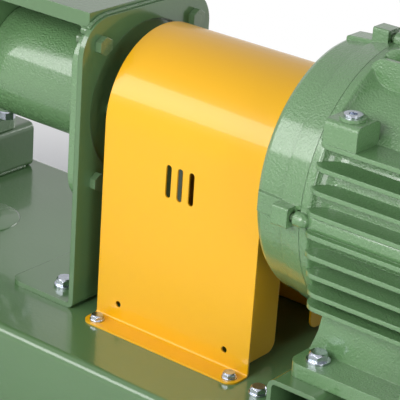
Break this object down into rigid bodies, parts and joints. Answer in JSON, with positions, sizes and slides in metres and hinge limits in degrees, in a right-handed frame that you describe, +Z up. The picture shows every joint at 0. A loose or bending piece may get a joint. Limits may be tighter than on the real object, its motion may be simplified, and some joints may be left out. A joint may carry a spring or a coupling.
{
  "type": "centrifugal pump set",
  "caption": "Long-coupled end-suction pump and finned electric motor on a folded steel base, with box pedestal and arched yellow coupling guard.",
  "frame": {"origin": "on the floor under the shaft line, at the middle of the six anchor holes of the baseplate", "axes": "+X along the shaft from the pump to the motor, +Z up along the discharge, Y across"},
  "size_m": [1.185, 0.472, 0.562],
  "materials": {
    "machine_green": "gloss enamel",
    "cover_green": "gloss enamel",
    "motor_green": "semi-gloss enamel on castings",
    "guard_yellow": "gloss powder coat",
    "bright_zinc": "bright zinc plate",
    "machined_steel": "turned",
    "bearing_steel": "polished",
    "hub_iron": "machined cast iron",
    "spider_elastomer": "moulded",
    "impeller_bronze": "cast bronze, machined",
    "seal_carbon": "matt",
    "black_rubber": "matt",
    "laminated_steel": "laminated",
    "winding_copper": "varnished",
    "grey_plastic": "moulded",
    "clear_glass": "polished"
  },
  "bodies": {
    "machine": {"base_cross_members": "machine_green", "baseplate": "machine_green", "bearing_cover": "cover_green", "bearing_cover_screws": "machine_green", "bearing_housing": "machine_green", "cable_glands": "grey_plastic", "casing_bolts": "bright_zinc", "casing_cover": "machine_green", "casing_gasket": "seal_carbon", "coupling_guard": "guard_yellow", "drive_end_shield": "motor_green", "earth_bolt": "bright_zinc", "fan_cowl": "motor_green", "fan_end_shield": "motor_green", "foot_bolts": "bright_zinc", "foot_nuts": "bright_zinc", "foot_washers": "bright_zinc", "frame_plugs": "bright_zinc", "guard_end_plates": "guard_yellow", "guard_fixings": "bright_zinc", "housing_flange_bolts": "machine_green", "lifting_eye": "bright_zinc", "lip_seals": "black_rubber", "motor_bearing_balls": "bearing_steel", "motor_bearing_outer_rings": "bearing_steel", "motor_frame": "motor_green", "oil_plugs": "bright_zinc", "pedestal_frame": "machine_green", "pedestal_front": "machine_green", "pump_bearing_balls": "bearing_steel", "pump_bearing_outer_rings": "bearing_steel", "raising_tubes": "machine_green", "seal_gland": "machined_steel", "seal_gland_screws": "bright_zinc", "seal_seat": "seal_carbon", "shield_bolts": "motor_green", "sight_glass_disc": "clear_glass", "sight_glass_rim": "bright_zinc", "stator_core": "laminated_steel", "stator_windings": "winding_copper", "terminal_block": "grey_plastic", "terminal_box": "motor_green", "terminal_box_lid": "motor_green", "terminal_box_screws": "bright_zinc", "volute_casing": "machine_green", "wear_ring": "impeller_bronze"},
    "pump_rotor": {"pump_shaft": "machined_steel", "pump_shaft_keys": "machined_steel", "impeller": "impeller_bronze", "impeller_nut": "impeller_bronze", "seal_rotor": "machined_steel", "pump_bearing_inner_rings": "bearing_steel", "pump_hub": "hub_iron", "coupling_spider": "spider_elastomer"},
    "motor_rotor": {"motor_shaft": "machined_steel", "motor_hub": "hub_iron", "motor_hub_key": "machined_steel", "rotor_core": "laminated_steel", "motor_bearing_inner_rings": "bearing_steel", "cooling_fan": "grey_plastic"}
  },
  "joints": [
    {"name": "motor_spin", "type": "hinge", "parent": "machine", "child": "motor_rotor", "pos_m": [0.22, 0, 0.32], "axis": [1, 0, 0], "continuous": true},
    {"name": "pump_spin", "type": "hinge", "parent": "machine", "child": "pump_rotor", "pos_m": [-0.18, 0, 0.32], "axis": [1, 0, 0], "continuous": true}
  ],
  "couplings": [
    {"joint": "pump_spin", "follows": "motor_spin", "ratio": 1}
  ]
}
